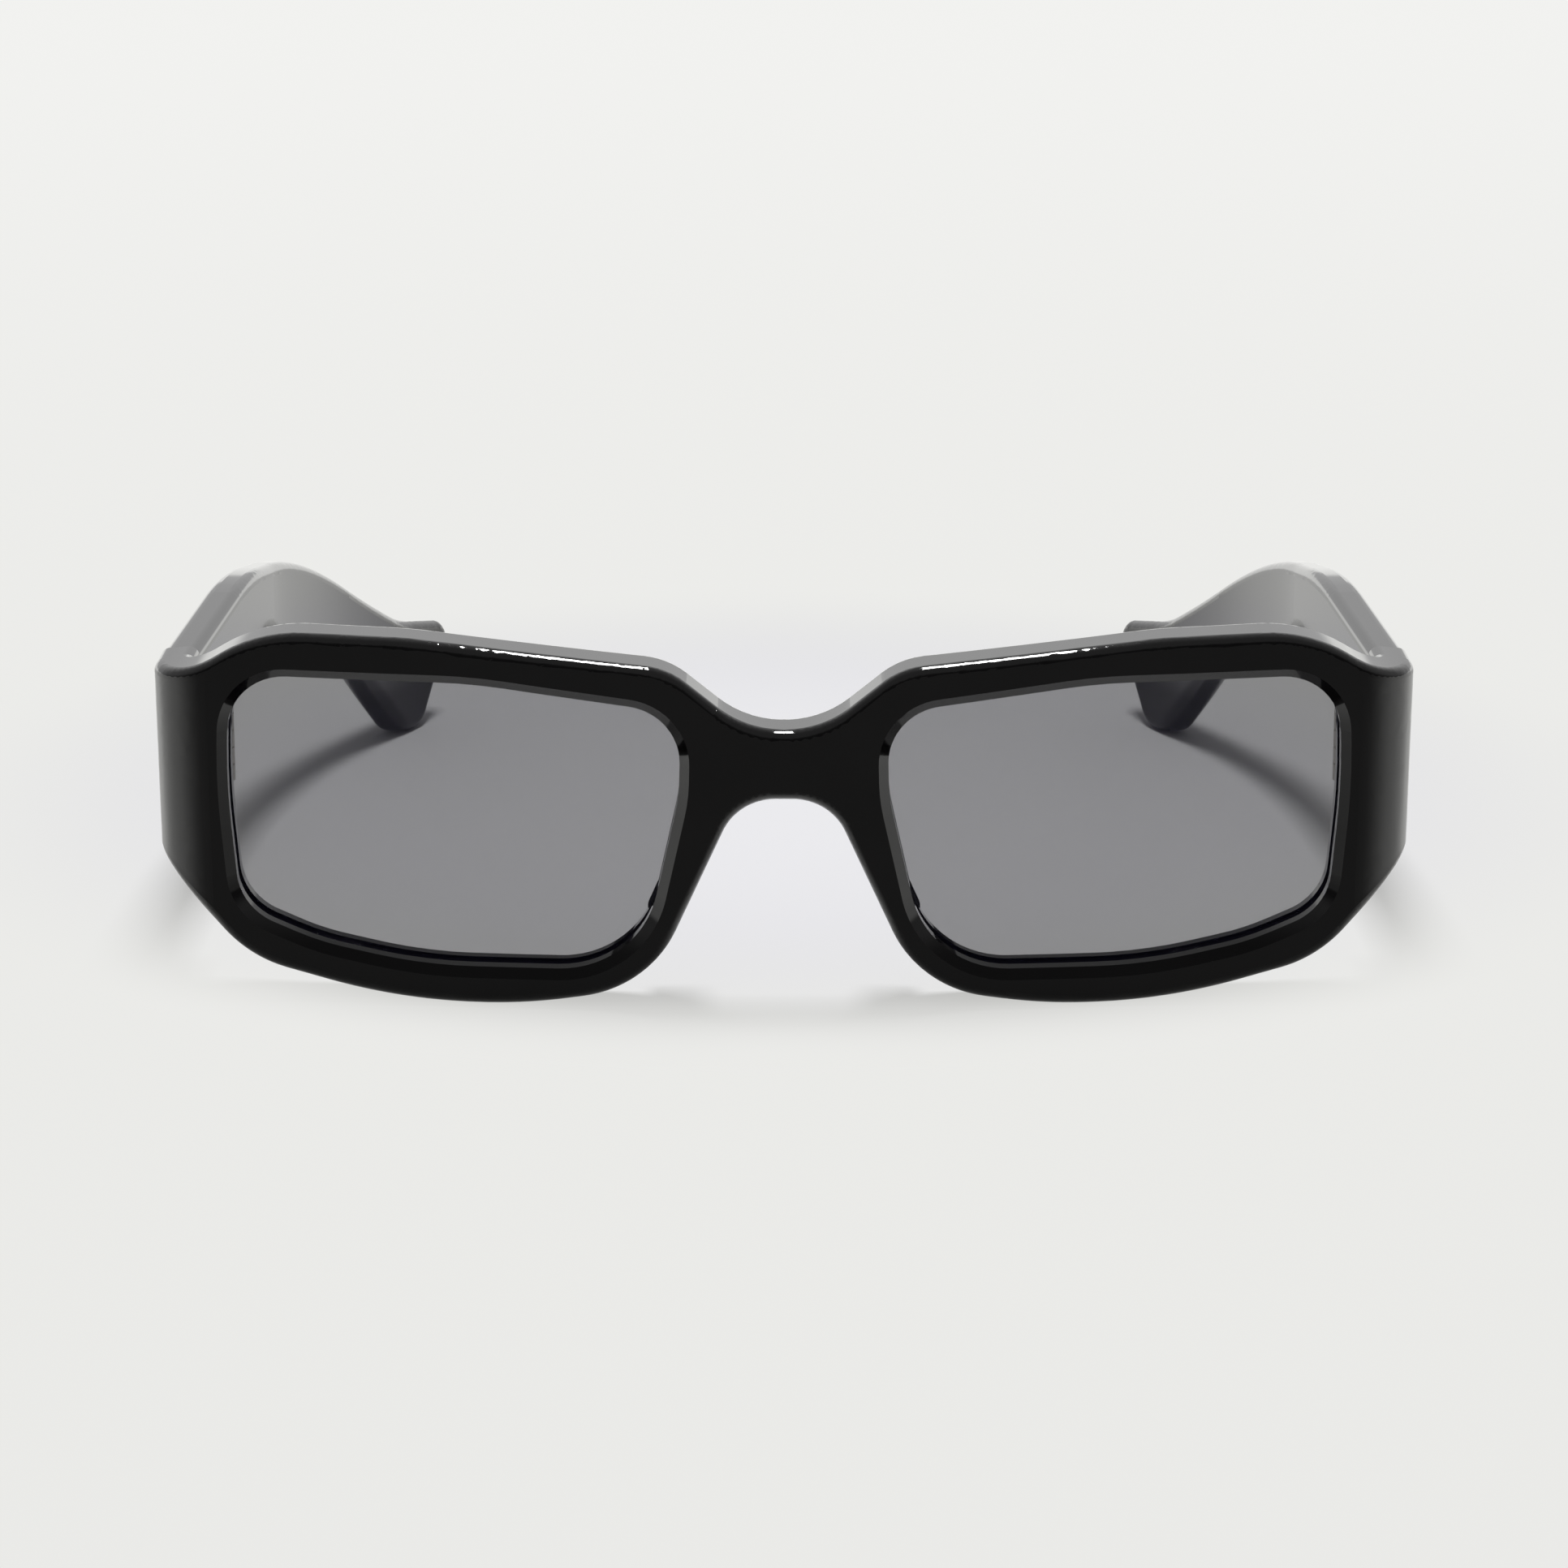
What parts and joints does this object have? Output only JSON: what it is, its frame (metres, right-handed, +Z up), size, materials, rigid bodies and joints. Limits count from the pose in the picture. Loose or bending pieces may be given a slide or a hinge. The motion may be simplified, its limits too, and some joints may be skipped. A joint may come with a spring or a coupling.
{
  "type": "sunglasses",
  "caption": "Narrow rectangular sunglasses in thick black block acetate with smoke lenses, broad folding temples and barrel hinges.",
  "frame": {"origin": "on the table under the middle of the open pair, halfway from the front's foremost point to the temples' rear ends", "axes": "+Z up, -Y the way the lenses face, +X towards the wearer's left"},
  "size_m": [0.143, 0.1398, 0.0432],
  "materials": {
    "black_acetate": "polished black block acetate",
    "smoke_lens": "smoke tinted lens, polished",
    "hinge_metal": "tumbled nickel silver",
    "screw_steel": "plain steel",
    "core_wire_metal": "drawn nickel silver"
  },
  "bodies": {
    "front": {"front_frame": "black_acetate", "left_lens": "smoke_lens", "left_nose_pad": "black_acetate", "left_front_hinge": "hinge_metal", "right_lens": "smoke_lens", "right_nose_pad": "black_acetate", "right_front_hinge": "hinge_metal"},
    "left_temple_body": {"left_temple": "black_acetate", "left_temple_hinge": "hinge_metal", "left_hinge_screw": "screw_steel", "left_core_wire": "core_wire_metal"},
    "right_temple_body": {"right_temple": "black_acetate", "right_temple_hinge": "hinge_metal", "right_hinge_screw": "screw_steel", "right_core_wire": "core_wire_metal"}
  },
  "joints": [
    {"name": "left_temple_fold", "type": "hinge", "parent": "front", "child": "left_temple_body", "pos_m": [0.065, -0.04877, 0.02695], "axis": [0, 0, 1], "range_deg": [0, 85]},
    {"name": "right_temple_fold", "type": "hinge", "parent": "front", "child": "right_temple_body", "pos_m": [-0.065, -0.04877, 0.02695], "axis": [0, 0, -1], "range_deg": [0, 77]}
  ]
}
